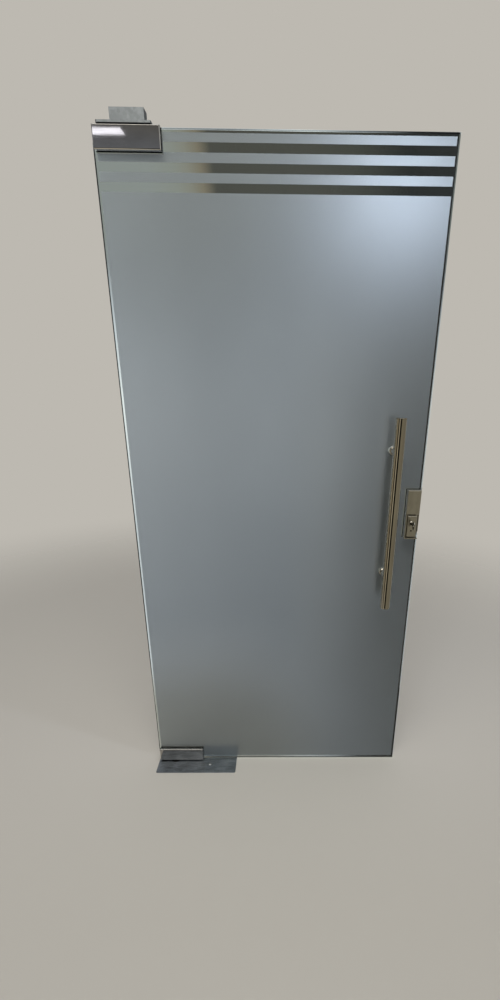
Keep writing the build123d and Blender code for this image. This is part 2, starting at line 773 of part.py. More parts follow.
with BuildPart() as pull_sleeves:
    with BuildSketch(Plane.XZ):
        with Locations(*pull_feet):
            Circle(pull_hole / 2 - sleeve_fit)
            Circle(stud_diameter / 2 + stud_fit, mode=Mode.SUBTRACT)
    extrude(amount=face, both=True)

with BuildPart() as pull_washers:
    with BuildSketch(Plane.XZ.offset(face)):
        with Locations(*pull_feet):
            Circle(post_foot / 2)
            Circle(stud_diameter / 2 + stud_fit, mode=Mode.SUBTRACT)
    extrude(amount=post_washer)
    mirror(about=Plane.XZ)

# Lock case: its outline on the glass, the axis of its cylinder and the reach of its bolt
lock_right = leading_edge - lock_setback
lock_left = lock_right - lock_width
lock_foot = lock_level - lock_height / 2
lock_head = lock_level + lock_height / 2
lock_seat = face + lock_gasket
lock_floor = lock_seat + lock_base
lock_front = face + lock_depth
split_z = lock_level + lock_split
axis_x = leading_edge - cylinder_inset
core_left = leading_edge - lock_notch_depth + lock_notch_fit
core_right = leading_edge - faceplate_thickness
core_height = lock_notch_height - 2 * lock_notch_fit
bolt_foot = cylinder_level + cam_rise
bolt_middle = bolt_foot + bolt_height / 2
bolt_face = leading_edge - bolt_recess
bolt_tail = bolt_face - bolt_length
cam_reach = cam_radius + cam_finger / 2
finger_x = axis_x - cam_radius * sin(radians(cam_half_turn))
finger_z = cylinder_level + cam_radius * cos(radians(cam_half_turn))
clamp_screw_x = lock_left + clamp_screw_inset
clamp_screws_at = [(clamp_screw_x, lock_level + i * clamp_screw_spacing / 2) for i in (-1, 1)]
bolt_throw = 2 * cam_radius * sin(radians(cam_half_turn))
print("bolt throw", bolt_throw, "mm, radians a metre", 2 * radians(cam_half_turn) / bolt_throw * 1000)

# Core of the lock in the glass notch, hollowed for the bolt and the cam that drives it
faceplate_screws_at = [(0, lock_level + i * faceplate_screw_spacing / 2) for i in (-1, 1)]
with BuildPart() as lock_core:
    with BuildSketch(Plane.XZ):
        with Locations((core_left, lock_level)):
            Rectangle(core_right - core_left, core_height, align=from_left)
    extrude(amount=face, both=True)
    fillet(
        lock_core.edges().filter_by(Axis.Y).group_by(Axis.X)[0],
        radius=lock_notch_radius - lock_notch_fit,
    )
    with BuildSketch(Plane.XZ):
        with Locations((bolt_tail - cam_play, bolt_middle)):
            Rectangle(glass_width, bolt_height + 2 * bolt_fit, align=from_left)
        with Locations((axis_x, cylinder_level)):
            Circle(cam_reach + cam_play)
    extrude(amount=bolt_thickness / 2 + bolt_fit, both=True, mode=Mode.SUBTRACT)
    with BuildSketch(Plane.XZ):
        with Locations((axis_x, cylinder_level)):
            Circle(tail_diameter / 2 + plug_run)
        with Locations(*clamp_screws_at):
            Circle(clamp_screw / 2 + screw_fit)
    extrude(amount=face, both=True, mode=Mode.SUBTRACT)
    with BuildSketch(Plane.YZ.offset(core_right)):
        with Locations(*faceplate_screws_at):
            Circle(faceplate_screw / 2 + screw_fit)
    extrude(amount=-faceplate_screw_depth, mode=Mode.SUBTRACT)

# Steel faceplate on the edge of the core, with the slot that the bolt comes out of
with BuildPart() as lock_faceplate:
    with BuildSketch(Plane.YZ.offset(core_right)):
        with Locations((0, lock_level)):
            Rectangle(glass_thickness, faceplate_height)
        with Locations((0, bolt_middle)):
            Rectangle(bolt_thickness + 2 * bolt_fit, bolt_height + 2 * bolt_fit, mode=Mode.SUBTRACT)
        with Locations(*faceplate_screws_at):
            Circle(faceplate_screw / 2 + screw_fit, mode=Mode.SUBTRACT)
    extrude(amount=faceplate_thickness)

with BuildPart() as lock_faceplate_screws:
    with BuildSketch(Plane.YZ.offset(leading_edge)):
        with Locations(*faceplate_screws_at):
            Circle(faceplate_screw / 2)
    extrude(amount=-(faceplate_thickness + faceplate_screw_depth))
    with BuildSketch(Plane.YZ.offset(leading_edge)):
        with Locations(*faceplate_screws_at):
            Rectangle(faceplate_screw, faceplate_screw * slot_share)
            Rectangle(faceplate_screw * slot_share, faceplate_screw)
    extrude(amount=-faceplate_screw_slot, mode=Mode.SUBTRACT)

# Bolt: a flat bar with a bevelled nose and a notch that the cam finger pushes in
notch_rise = cam_reach + cam_play - cam_rise
with BuildPart() as lock_bolt:
    with BuildSketch(Plane.XZ):
        with Locations((bolt_tail, bolt_foot)):
            Rectangle(bolt_length, bolt_height, align=corner)
        with Locations((finger_x, bolt_foot)):
            Rectangle(cam_finger + 2 * cam_play, 2 * notch_rise, mode=Mode.SUBTRACT)
    extrude(amount=bolt_thickness / 2, both=True)
    chamfer(lock_bolt.faces().sort_by(Axis.X)[-1].edges(), length=bolt_recess)

# Plug of the cylinder, with its tail through the core and the cam finger on it
plug_front = lock_front - block_drop + cylinder_proud
with BuildPart() as lock_plug:
    with BuildSketch(Plane.XZ.offset(face)):
        with Locations((axis_x, cylinder_level)):
            Circle(plug_diameter / 2)
    extrude(amount=plug_front - face)
    with BuildSketch(Plane.XZ.offset(face)):
        with Locations((axis_x, cylinder_level)):
            Circle(tail_diameter / 2)
    extrude(amount=-(2 * face + lock_depth))
    with BuildSketch(Plane.XZ):
        with Locations((axis_x, cylinder_level)):
            Circle(cam_hub / 2)
        with Locations((finger_x, finger_z)):
            Circle(cam_finger / 2)
        with Locations(((axis_x + finger_x) / 2, (cylinder_level + finger_z) / 2)):
            Rectangle(cam_arm, cam_radius, rotation=cam_half_turn)
    extrude(amount=cam_thickness / 2, both=True)
    with BuildSketch(Plane.XZ.offset(plug_front)):
        with Locations((axis_x, cylinder_level)):
            Rectangle(key_thickness + 2 * key_fit, key_blade_height + 2 * key_fit)
    extrude(amount=-(key_blade + key_fit), mode=Mode.SUBTRACT)

# Key standing in the plug: a drilled oval bow, a neck, and a blade cut for the pins
key_head = cylinder_level + key_blade_height / 2
key_cuts_at = [-(plug_front - key_cut_pitch * (i + 1)) for i in range(len(key_cuts))]
with BuildPart() as lock_key:
    with BuildSketch(Plane.YZ.offset(axis_x)):
        with Locations((key_blade - plug_front, cylinder_level)):
            Rectangle(key_blade + key_neck + key_bow / 2, key_blade_height, align=from_right)
        with Locations((-(plug_front + key_neck + key_bow / 2), cylinder_level)):
            Ellipse(key_bow / 2, key_bow_height / 2)
            Circle(key_bow_hole / 2, mode=Mode.SUBTRACT)
        for cut_y, cut_depth in zip(key_cuts_at, key_cuts):
            with Locations((cut_y, key_head)):
                Rectangle(cut_depth * sqrt(2), cut_depth * sqrt(2), rotation=45, mode=Mode.SUBTRACT)
    extrude(amount=key_thickness / 2, both=True)

# Thumbturn on the far face: a round rose and a flat grip on the tail
with BuildPart() as lock_thumbturn:
    with BuildSketch(Plane.XZ.offset(-lock_front)):
        with Locations((axis_x, cylinder_level)):
            Circle(turn_rose / 2)
    extrude(amount=-turn_rose_depth)
    chamfer(lock_thumbturn.faces().sort_by(Axis.Y)[-1].edges(), length=turn_rose_bevel)
    with BuildSketch(Plane.XZ.offset(-lock_front - turn_rose_depth)):
        with Locations((axis_x, cylinder_level)):
            SlotOverall(turn_length, turn_width, rotation=90)
    extrude(amount=-turn_depth)
    chamfer(lock_thumbturn.faces().sort_by(Axis.Y)[-1].edges(), length=turn_bevel)

# Front case: a base on the glass with a raised rim down its left side and across its foot
with BuildPart() as lock_case_front:
    with BuildSketch(Plane.XZ.offset(lock_seat)):
        with Locations((lock_left, lock_foot)):
            Rectangle(lock_width, lock_height, align=corner)
    extrude(amount=lock_base)
    with BuildSketch(Plane.XZ.offset(lock_floor)):
        with Locations((lock_left, lock_foot)):
            Rectangle(lock_width, split_z - lock_foot - lock_cover_gap, align=corner)
        with Locations((lock_left + lock_rim, lock_foot + lock_rim)):
            Rectangle(lock_width, lock_height, align=corner, mode=Mode.SUBTRACT)
    extrude(amount=lock_front - lock_floor)
    with BuildSketch(Plane.XZ.offset(lock_seat)):
        with Locations((axis_x, cylinder_level)):
            Circle(plug_diameter / 2 + plug_run)
        with Locations(*clamp_screws_at):
            Circle(clamp_screw / 2 + screw_fit)
    extrude(amount=lock_base, mode=Mode.SUBTRACT)

# Plain bevelled cap over the upper half of the front case
with BuildPart() as lock_cover_front:
    with BuildSketch(Plane.XZ.offset(lock_floor)):
        with Locations((lock_left, split_z)):
            Rectangle(lock_width, lock_head - split_z, align=corner)
    extrude(amount=lock_front - lock_floor)
    with BuildSketch(Plane.XZ.offset(lock_floor)):
        with Locations((lock_left + lock_skin, split_z + lock_skin)):
            Rectangle(lock_width - 2 * lock_skin, lock_head - split_z - 2 * lock_skin, align=corner)
    extrude(amount=lock_front - lock_floor - lock_skin, mode=Mode.SUBTRACT)
    chamfer(lock_cover_front.faces().sort_by(Axis.Y)[0].edges(), length=lock_bevel)

# Raised block in the lower half, which carries the key cylinder
block_x = lock_left + block_inset
block_z = lock_foot + lock_rim + block_foot
block_front = lock_front - block_drop
with BuildPart() as lock_block:
    with BuildSketch(Plane.XZ.offset(lock_floor)):
        with Locations((block_x, block_z)):
            Rectangle(block_width, split_z - block_head - block_z, align=corner)
    extrude(amount=block_front - lock_floor)
    chamfer(lock_block.faces().sort_by(Axis.Y)[0].edges(), length=lock_bevel)
    with BuildSketch(Plane.XZ.offset(lock_floor)):
        with Locations((axis_x, cylinder_level)):
            Circle(cylinder_diameter / 2)
        with Locations(clamp_screws_at[0]):
            Circle(clamp_screw / 2 + screw_fit)
    extrude(amount=block_front - lock_floor, mode=Mode.SUBTRACT)

with BuildPart() as lock_cylinder:
    with BuildSketch(Plane.XZ.offset(lock_floor)):
        with Locations((axis_x, cylinder_level)):
            Circle(cylinder_diameter / 2)
            Circle(plug_diameter / 2 + plug_run, mode=Mode.SUBTRACT)
    extrude(amount=plug_front - lock_floor)
    chamfer(lock_cylinder.faces().sort_by(Axis.Y)[0].outer_wire().edges(), length=cylinder_bevel)

# Rear case: a base on the glass and one plain cap over it, drilled for the thumbturn
with BuildPart() as lock_case_rear:
    with BuildSketch(Plane.XZ.offset(-lock_seat)):
        with Locations((lock_left, lock_foot)):
            Rectangle(lock_width, lock_height, align=corner)
        with Locations((axis_x, cylinder_level)):
            Circle(tail_diameter / 2 + plug_run, mode=Mode.SUBTRACT)
        with Locations(*clamp_screws_at):
            Circle(clamp_screw / 2 + screw_fit, mode=Mode.SUBTRACT)
    extrude(amount=-lock_base)

with BuildPart() as lock_cover_rear:
    with BuildSketch(Plane.XZ.offset(-lock_floor)):
        with Locations((lock_left, lock_foot)):
            Rectangle(lock_width, lock_height, align=corner)
    extrude(amount=-(lock_front - lock_floor))
    with BuildSketch(Plane.XZ.offset(-lock_floor)):
        with Locations((lock_left + lock_skin, lock_foot + lock_skin)):
            Rectangle(lock_width - 2 * lock_skin, lock_height - 2 * lock_skin, align=corner)
    extrude(amount=-(lock_front - lock_floor - lock_skin), mode=Mode.SUBTRACT)
    chamfer(lock_cover_rear.faces().sort_by(Axis.Y)[-1].edges(), length=lock_bevel)
    with BuildSketch(Plane.XZ.offset(-lock_front)):
        with Locations((axis_x, cylinder_level)):
            Circle(tail_diameter / 2 + plug_run)
    extrude(amount=lock_skin, mode=Mode.SUBTRACT)

# Gaskets under both cases, and the two screws that clamp the cases together
with BuildPart() as lock_gaskets:
    with BuildSketch(Plane.XZ.offset(face)):
        with Locations((lock_left, lock_foot)):
            Rectangle(lock_width, lock_height, align=corner)
        with Locations((leading_edge, lock_level)):
            RectangleRounded(lock_notch_mouth, lock_notch_height, lock_notch_radius, mode=Mode.SUBTRACT)
    extrude(amount=lock_gasket)
    mirror(about=Plane.XZ)

with BuildPart() as lock_clamp_screws:
    with BuildSketch(Plane.XZ.offset(lock_floor)):
        with Locations(*clamp_screws_at):
            Circle(clamp_screw / 2)
    extrude(amount=-2 * lock_floor)
    with BuildSketch(Plane.XZ.offset(-lock_floor)):
        with Locations(*clamp_screws_at):
            Circle(clamp_screw_head / 2)
    extrude(amount=-clamp_screw_head_depth)
    with BuildSketch(Plane.XZ.offset(-lock_floor - clamp_screw_head_depth)):
        with Locations(*clamp_screws_at):
            RegularPolygon(clamp_screw_head / 2 * hex_share, side_count=6)
    extrude(amount=clamp_screw_socket, mode=Mode.SUBTRACT)

pieces = {
    "glass_leaf": glass_leaf,
    "film_strip_1": film_strips[0],
    "film_strip_2": film_strips[1],
    "film_strip_3": film_strips[2],
    "film_field": film_field,
    "bottom_patch_casting_front": bottom_patch_casting_front,
    "bottom_patch_casting_rear": bottom_patch_casting_rear,
    "bottom_patch_cover_front": bottom_patch_cover_front,
    "bottom_patch_cover_rear": bottom_patch_cover_rear,
    "bottom_patch_gaskets": bottom_patch_gaskets,
    "bottom_patch_bolts": bottom_patch_bolts,
    "bottom_patch_insert": bottom_patch_insert,
    "closer_spindle": closer_spindle,
    "top_patch_casting_front": top_patch_casting_front,
    "top_patch_casting_rear": top_patch_casting_rear,
    "top_patch_cover_front": top_patch_cover_front,
    "top_patch_cover_rear": top_patch_cover_rear,
    "top_patch_gaskets": top_patch_gaskets,
    "top_patch_bolts": top_patch_bolts,
    "top_patch_insert": top_patch_insert,
    "top_patch_bush": top_patch_bush,
    "closer_body": closer_body,
    "closer_spring_plug": closer_spring_plug,
    "closer_valve_screws": closer_valve_screws,
    "closer_level_screws": closer_level_screws,
    "spindle_seal": spindle_seal,
    "cement_box": cement_box,
    "cover_plate": cover_plate,
    "cover_plate_screws": cover_plate_screws,
    "top_pivot_plate": top_pivot_plate,
    "top_pivot_pin": top_pivot_pin,
    "top_pivot_lever": top_pivot_lever,
    "top_pivot_lift_screw": top_pivot_lift_screw,
    "pull_tube_front": pull_tube_front,
    "pull_tube_rear": pull_tube_rear,
    "pull_caps_front": pull_caps_front,
    "pull_caps_rear": pull_caps_rear,
    "pull_posts_front": pull_posts_front,
    "pull_posts_rear": pull_posts_rear,
    "pull_grub_screws": pull_grub_screws,
    "pull_studs": pull_studs,
    "pull_sleeves": pull_sleeves,
    "pull_washers": pull_washers,
    "lock_core": lock_core,
    "lock_faceplate": lock_faceplate,
    "lock_faceplate_screws": lock_faceplate_screws,
    "lock_bolt": lock_bolt,
    "lock_plug": lock_plug,
    "lock_key": lock_key,
    "lock_thumbturn": lock_thumbturn,
    "lock_case_front": lock_case_front,
    "lock_cover_front": lock_cover_front,
    "lock_block": lock_block,
    "lock_cylinder": lock_cylinder,
    "lock_case_rear": lock_case_rear,
    "lock_cover_rear": lock_cover_rear,
    "lock_gaskets": lock_gaskets,
    "lock_clamp_screws": lock_clamp_screws,
}

os.makedirs("parts", exist_ok=True)
for name, piece in pieces.items():
    piece.part.label = name
    export_step(piece.part, f"parts/{name}.step")
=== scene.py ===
import json
from math import cos, pi, radians, sin, sqrt

import bmesh
import bpy
from mathutils import Matrix, Vector

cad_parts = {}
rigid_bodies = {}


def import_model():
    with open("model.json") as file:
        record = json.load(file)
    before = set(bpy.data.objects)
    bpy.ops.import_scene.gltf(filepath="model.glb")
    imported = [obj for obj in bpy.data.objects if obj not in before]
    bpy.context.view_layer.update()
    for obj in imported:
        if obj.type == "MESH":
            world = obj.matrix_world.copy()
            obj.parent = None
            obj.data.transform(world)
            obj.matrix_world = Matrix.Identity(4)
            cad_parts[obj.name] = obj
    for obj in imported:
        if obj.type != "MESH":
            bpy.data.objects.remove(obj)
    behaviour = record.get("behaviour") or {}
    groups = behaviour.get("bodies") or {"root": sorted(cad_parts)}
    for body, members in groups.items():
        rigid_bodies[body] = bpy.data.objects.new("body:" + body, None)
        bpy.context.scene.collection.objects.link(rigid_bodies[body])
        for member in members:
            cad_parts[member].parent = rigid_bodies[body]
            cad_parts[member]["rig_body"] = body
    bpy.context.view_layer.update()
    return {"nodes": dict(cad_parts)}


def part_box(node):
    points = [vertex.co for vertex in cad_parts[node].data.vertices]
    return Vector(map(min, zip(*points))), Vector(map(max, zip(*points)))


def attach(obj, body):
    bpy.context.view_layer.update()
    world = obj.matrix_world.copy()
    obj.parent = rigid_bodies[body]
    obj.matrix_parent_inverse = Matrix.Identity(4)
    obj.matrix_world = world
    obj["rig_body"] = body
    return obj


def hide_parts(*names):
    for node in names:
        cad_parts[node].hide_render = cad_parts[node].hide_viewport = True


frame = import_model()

mm = 0.001

# Glass leaf. One sheet of toughened float glass, cut, notched and drilled before it was hardened, with its
# arrises ground. Face on it is nearly clear. Seen along the sheet it is green, from the iron in the glass.


def linear(colour):
    """The linear red, green, blue and alpha of an sRGB hex colour."""
    parts = [int(colour[i:i + 2], 16) / 255 for i in (1, 3, 5)]
    return [p / 12.92 if p <= 0.04045 else ((p + 0.055) / 1.055) ** 2.4 for p in parts] + [1.0]


def fill(tree, node, inputs):
    """Gives a node's inputs their values, or links them to other nodes' outputs."""
    for name, value in inputs.items():
        if isinstance(value, bpy.types.NodeSocket):
            tree.links.new(value, node.inputs[name])
        else:
            node.inputs[name].default_value = value


def add(tree, kind, inputs=None, stops=None, **settings):
    """Adds a node with its settings, its inputs and, on a colour ramp, its stops. Returns the node."""
    node = tree.nodes.new("ShaderNode" + kind)
    for name, value in settings.items():
        setattr(node, name, value)
    fill(tree, node, inputs or {})
    if stops:
        ramp = node.color_ramp.elements
        while len(ramp) < len(stops):
            ramp.new(1.0)
        for element, (place, colour) in zip(ramp, stops):
            element.position = place
            element.color = linear(colour)
    return node


def mottle(tree, place, size, low, high, detail=2.0, turn=(0.0, 0.0, 0.0)):
    """A value that drifts between low and high over patches of one size, or of three along x, y and z."""
    along = size if isinstance(size, tuple) else (size, size, size)
    spread = add(tree, "Mapping", {"Vector": place, "Rotation": turn, "Scale": [1 / s for s in along]})
    noise = add(tree, "TexNoise", {"Vector": spread.outputs["Vector"], "Scale": 1.0, "Detail": detail})
    # Noise seldom leaves the middle of its range, so that part is stretched over the whole
    drift = {"Value": noise.outputs["Fac"], "From Min": 0.3, "From Max": 0.7, "To Min": low, "To Max": high}
    return add(tree, "MapRange", drift).outputs["Result"]


def new_material(name):
    """A new material, with its nodes, its shader and the Object coordinates that its patterns follow."""
    material = bpy.data.materials.new(name)
    material.use_nodes = True
    tree = material.node_tree
    return material, tree, tree.nodes["Principled BSDF"], add(tree, "TexCoord").outputs["Object"]


def dress(material, *nodes):
    """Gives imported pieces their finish."""
    for node in nodes:
        frame["nodes"][node].material_slots[0].material = material


# Clear glass: mirror smooth, with faint hand marks that only dull the reflection a little
float_glass, tree, shader, place = new_material("toughened_float_glass")
fill(tree, shader, {
    "Base Color": linear("#F3FAF7"),
    "Roughness": mottle(tree, place, (90 * mm, 90 * mm, 140 * mm), 0.0, 0.025),
    "IOR": 1.52,
    "Transmission Weight": 1.0,
})
# Float glass takes most red and least green from the light on its way
tint = add(tree, "VolumeAbsorption", {"Color": linear("#AAEEDF"), "Density": 4.0})
tree.links.new(tint.outputs["Volume"], tree.nodes["Material Output"].inputs["Volume"])
dress(float_glass, "glass_leaf")
# The sheet throws hardly any shadow, and lets the lamps reach the film behind it
frame["nodes"]["glass_leaf"].visible_shadow = False

# Frosted film. Matt vinyl, stuck to the far face of the glass in one large field and three strips, with clear
# bands left between them. It scatters what comes through, so the pull behind it is only a blurred shape.
film_gap = 0.05 * mm
weld = 0.001 * mm
flat_within = radians(0.5)
crease = radians(32)


def finish_piece(shape, name, material, node):
    """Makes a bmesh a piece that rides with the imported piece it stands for."""
    mesh = bpy.data.meshes.new(name)
    shape.to_mesh(mesh)
    shape.free()
    mesh.shade_smooth()
    mesh.set_sharp_from_angle(angle=crease)
    mesh.materials.append(material)
    piece = bpy.data.objects.new(name, mesh)
    bpy.context.scene.collection.objects.link(piece)
    flat = piece.modifiers.new("flat_faces_first", "WEIGHTED_NORMAL")
    flat.keep_sharp = True
    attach(piece, frame["nodes"][node]["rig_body"])
    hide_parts(node)


def merged(node):
    """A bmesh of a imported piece, with its loose triangles joined into whole faces."""
    shape = bmesh.new()
    shape.from_mesh(frame["nodes"][node].data)
    bmesh.ops.remove_doubles(shape, verts=shape.verts, dist=weld)
    bmesh.ops.dissolve_limit(shape, angle_limit=flat_within, verts=shape.verts, edges=shape.edges)
    return shape


# Frosted vinyl: cool grey and quite matt. Its pebbles are drawn about ten times too wide, so that they show
frosted_vinyl, tree, shader, place = new_material("frosted_vinyl_film")
cloud = mottle(tree, place, (260 * mm, 260 * mm, 420 * mm), 0.0, 1.0, detail=3.0)
pebble = mottle(tree, place, 1.2 * mm, 0.0, 1.0)
shade = add(tree, "ValToRGB", {"Fac": cloud}, [(0.0, "#C0BFC5"), (1.0, "#C7C6CC")])
relief = add(tree, "Bump", {"Height": pebble, "Strength": 0.15, "Distance": 0.05 * mm})
fill(tree, shader, {
    "Base Color": shade.outputs["Color"],
    "Roughness": mottle(tree, place, 3 * mm, 0.42, 0.48),
    "IOR": 1.45,
    "Transmission Weight": 0.86,
    "Normal": relief.outputs["Normal"],
})
for node in ("film_field", "film_strip_1", "film_strip_2", "film_strip_3"):
    shape = merged(node)
    # A hair off the glass, so that the two faces don't fall together
    seen_face = min(vert.co.y for vert in shape.verts) + film_gap
    for vert in shape.verts:
        vert.co.y = max(vert.co.y, seen_face)
    finish_piece(shape, node.replace("film", "frosted_film"), frosted_vinyl, node)

# Bottom patch fitting. Two castings clamp the notched corner of the glass through fibre gaskets, held by two
# screws, with a steel insert that takes the closer's spindle. Folded stainless covers snap over the castings.
fold_radius = 0.5 * mm
sharp_from = radians(30)


def ease(shape, width, segments=2):
    """Rounds every sharp edge of a shape."""
    sharp = [edge for edge in shape.edges if edge.calc_face_angle(0.0) > sharp_from]
    bmesh.ops.bevel(
        shape, geom=sharp, offset=width, offset_type="OFFSET", segments=segments, profile=0.5,
        affect="EDGES", clamp_overlap=True, material=-1,
    )
    # A face narrower than its two roundings shrinks to nothing, and is taken out
    bmesh.ops.dissolve_degenerate(shape, dist=weld, edges=shape.edges)


def refine(node, material, width):
    """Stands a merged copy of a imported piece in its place, with its sharp edges eased."""
    shape = merged(node)
    ease(shape, width)
    finish_piece(shape, node + "_eased", material, node)


def new_finish(name, shades, roughness, patch, grain, relief, metallic=0.0):
    """A finish whose colour runs between two shades over patches, and whose roughness, between dull and
    bright, and height follow a grain. Patch and grain are one size, or three along x, y and z."""
    material, tree, shader, place = new_material(name)
    drift = mottle(tree, place, patch, 0.0, 1.0, detail=4.0)
    lines = mottle(tree, place, grain, 0.0, 1.0)
    dull, bright = roughness
    shade = add(tree, "ValToRGB", {"Fac": drift}, [(0.0, shades[0]), (1.0, shades[1])])
    gloss = add(tree, "MapRange", {"Value": lines, "To Min": bright, "To Max": dull})
    height = add(tree, "Bump", {"Height": lines, "Strength": 1.0, "Distance": relief})
    fill(tree, shader, {
        "Base Color": shade.outputs["Color"],
        "Metallic": metallic,
        "Roughness": gloss.outputs["Result"],
        "Normal": height.outputs["Normal"],
    })
    return material


# Mirror polished stainless: sharp reflections, broken a little by wiping marks along the cover
polished_stainless = new_finish(
    "mirror_polished_stainless", ("#A9A6A1", "#B6B3AE"), roughness=(0.06, 0.02),
    patch=(50 * mm, 20 * mm, 20 * mm), grain=(60 * mm, 1.2 * mm, 1.2 * mm), relief=0.0006 * mm, metallic=1.0,
)
# Cast aluminium: grey and grainy from the mould
cast_aluminium = new_finish(
    "cast_aluminium", ("#7F8284", "#94979A"), roughness=(0.62, 0.48), patch=12 * mm, grain=0.8 * mm,
    relief=0.05 * mm, metallic=1.0,
)
# Pressed fibre: nearly black and dead matt
pressed_fibre = new_finish(
    "pressed_fibre", ("#1B1C1D", "#2A2B2B"), roughness=(0.95, 0.82), patch=4 * mm, grain=0.5 * mm,
    relief=0.03 * mm,
)
# Zinc plated steel: bluish and satin. Its grain is drawn far coarser than the plating's, so that it shows
zinc_plate = new_finish(
    "zinc_plated_steel", ("#A3A7AC", "#B7BBC0"), roughness=(0.38, 0.26), patch=3 * mm, grain=0.4 * mm,
    relief=0.004 * mm, metallic=1.0,
)
# Machined steel: plain grey with turning marks up its height, drawn about three times too wide
machined_steel = new_finish(
    "machined_steel", ("#8F8E8B", "#A3A29F"), roughness=(0.34, 0.20), patch=10 * mm,
    grain=(20 * mm, 20 * mm, 0.35 * mm), relief=0.004 * mm, metallic=1.0,
)
for side in ("front", "rear"):
    refine("bottom_patch_cover_" + side, polished_stainless, fold_radius)
    dress(cast_aluminium, "bottom_patch_casting_" + side)
dress(pressed_fibre, "bottom_patch_gaskets")
dress(zinc_plate, "bottom_patch_bolts")
dress(machined_steel, "bottom_patch_insert")

# Top patch fitting. The same castings and covers turned over, with a nylon bush in a steel insert that
# turns on the top pivot's pin.

# Moulded nylon: off white and slightly glossy
moulded_nylon = new_finish(
    "moulded_nylon", ("#CFCEC8", "#DAD9D3"), roughness=(0.50, 0.38), patch=6 * mm, grain=0.6 * mm,
    relief=0.01 * mm,
)
for side in ("front", "rear"):
    refine("top_patch_cover_" + side, polished_stainless, fold_radius)
    dress(cast_aluminium, "top_patch_casting_" + side)
dress(pressed_fibre, "top_patch_gaskets")
dress(zinc_plate, "top_patch_bolts")
dress(machined_steel, "top_patch_insert")
dress(moulded_nylon, "top_patch_bush")

# Floor closer. A cast iron body filled with oil stands on levelling screws in a galvanised box let into the
# floor, and its flattened spindle carries the leaf. A rubber seal keeps water out round the spindle.
crystal = 7 * mm

# Painted iron: dark, with the mould's coarse skin under the paint
painted_iron = new_finish(
    "painted_cast_iron", ("#34383B", "#40454A"), roughness=(0.66, 0.50), patch=14 * mm, grain=1.4 * mm,
    relief=0.12 * mm,
)
# Galvanised sheet: crystals of zinc a few millimetres across, each a little lighter or darker
galvanised, tree, shader, place = new_material("galvanised_sheet")
crystals = add(tree, "TexVoronoi", {"Vector": place, "Scale": 1 / crystal})
spangle = add(tree, "ValToRGB", {"Fac": crystals.outputs["Color"]}, [(0.1, "#7E8385"), (0.9, "#8C9193")])
bloom = mottle(tree, place, 6 * mm, 0.0, 1.0)
relief = add(tree, "Bump", {"Height": bloom, "Strength": 1.0, "Distance": 0.003 * mm})
fill(tree, shader, {
    "Base Color": spangle.outputs["Color"],
    "Metallic": 1.0,
    "Roughness": add(tree, "MapRange", {"Value": bloom, "To Min": 0.36, "To Max": 0.52}).outputs["Result"],
    "Normal": relief.outputs["Normal"],
})
# Black rubber: matt, with a faint bloom
black_rubber = new_finish(
    "black_rubber", ("#121212", "#1E1E1D"), roughness=(0.80, 0.66), patch=5 * mm, grain=0.7 * mm,
    relief=0.02 * mm,
)
dress(painted_iron, "closer_body")
dress(galvanised, "cement_box")
dress(machined_steel, "closer_spindle", "closer_spring_plug")
dress(zinc_plate, "closer_valve_screws", "closer_level_screws")
dress(black_rubber, "spindle_seal")

# Cover plate. Stainless sheet over the closer, flush on the floor, bored for the spindle and held by two
# raised countersunk screws. Everyone walks on it, so it is scratched all ways and dull where feet land.
walked_edge = 0.15 * mm
scratch_length = 60 * mm
scratch_width = 0.7 * mm
scratch_turns = (8, 52, 97, 139)

# Scuffed stainless: darker where dirt has worn in, with dull shallow scratches four ways
scuffed_stainless, tree, shader, place = new_material("scuffed_stainless")
dirt = mottle(tree, place, (70 * mm, 40 * mm, 40 * mm), 0.0, 1.0, detail=4.0)
shade = add(tree, "ValToRGB", {"Fac": dirt}, [(0.0, "#777C82"), (1.0, "#9FA6AD")])
scratch = (scratch_length, scratch_width, scratch_length)
scratches = 0.0
for angle in scratch_turns:
    # Mostly below nothing, so that only the highest lines of the pattern are scratches
    line = mottle(tree, place, scratch, low=-2.6, high=1.9, detail=1.0, turn=(0.0, 0.0, radians(angle)))
    deeper = add(tree, "Math", {0: line, 1: scratches}, operation="MAXIMUM", use_clamp=True)
    scratches = deeper.outputs["Value"]
scuffed = add(tree, "MapRange", {"Value": scratches, "To Min": 0.20, "To Max": 0.50})
dents = add(tree, "Bump", {"Height": scratches, "Strength": 0.6, "Distance": 0.02 * mm}, invert=True)
fill(tree, shader, {
    "Base Color": shade.outputs["Color"],
    "Metallic": 1.0,
    "Roughness": scuffed.outputs["Result"],
    "Normal": dents.outputs["Normal"],
})
# Turned stainless: the domed heads stay bright, because soles slide over them
turned_stainless = new_finish(
    "turned_stainless", ("#B0B2B4", "#C2C4C6"), roughness=(0.24, 0.12), patch=4 * mm, grain=0.5 * mm,
    relief=0.002 * mm, metallic=1.0,
)
refine("cover_plate", scuffed_stainless, walked_edge)
refine("cover_plate_screws", turned_stainless, walked_edge)

# Top pivot. A galvanised steel plate, screwed up above the head of the leaf, carries a case with the pin that
# the leaf hangs on, and a lever and screw that draw the pin up to let the leaf out.
pressed_edge = 0.3 * mm

refine("top_pivot_plate", galvanised, pressed_edge)
dress(machined_steel, "top_pivot_pin", "top_pivot_lever")
dress(zinc_plate, "top_pivot_lift_screw")

# Pull handles. Stainless tubes back to back, brushed along their length, with flat caps welded in, on turned
# posts. Studs through the glass draw each pair of posts together on nylon washers and sleeves.
tube_wall = 1.5 * mm
tube_edge = 0.2 * mm
cap_edge = 0.5 * mm
cap_plug_depth = 8 * mm
foot_height = 4 * mm
foot_bevel = 2 * mm
shank_radius = 10 * mm
shank_fillet = 1.5 * mm
saddle_bite = 0.1 * mm
end_slack = 0.01 * mm
tube_steps = 96
post_steps = 64
fillet_steps = 3


